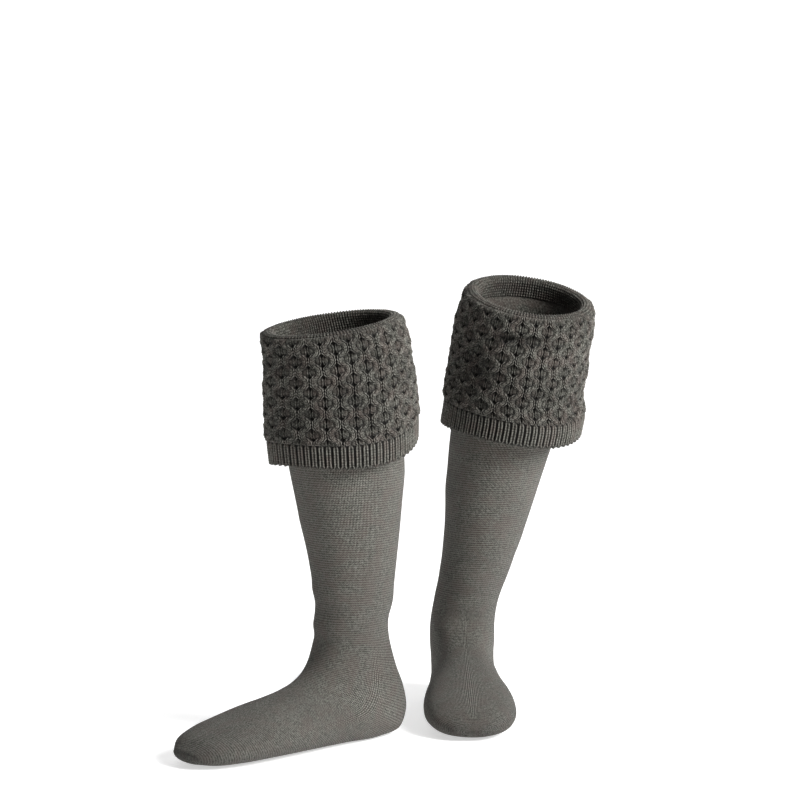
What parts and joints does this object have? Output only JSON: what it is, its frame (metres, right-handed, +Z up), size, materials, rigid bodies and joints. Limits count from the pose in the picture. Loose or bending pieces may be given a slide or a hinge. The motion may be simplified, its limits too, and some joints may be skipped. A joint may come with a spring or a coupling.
{
  "type": "pair of boot socks",
  "caption": "Pair of knitted boot socks as worn, with deep honeycomb cuffs turned down over the boot rim and ribbed hems, hollow and open at the top.",
  "frame": {"origin": "centre of the right sock's leg opening, at the top of the cuff's fold", "axes": "+Z up along a standing leg, +X to the wearer's left as seen along +Y, +Y away from the viewer of the picture's front"},
  "size_m": [0.3944, 0.3736, 0.4247],
  "materials": {
    "cuff_knit": "grey-olive melange yarn in a honeycomb cable knit, matt, a little fuzzy",
    "hem_knit": "the same yarn in 1x1 rib",
    "plain_knit": "the same yarn in plain knit"
  },
  "bodies": {
    "root": {"right_cuff": "cuff_knit", "right_hem": "hem_knit", "right_leg_and_foot": "plain_knit", "left_cuff": "cuff_knit", "left_hem": "hem_knit", "left_leg_and_foot": "plain_knit"}
  },
  "joints": []
}
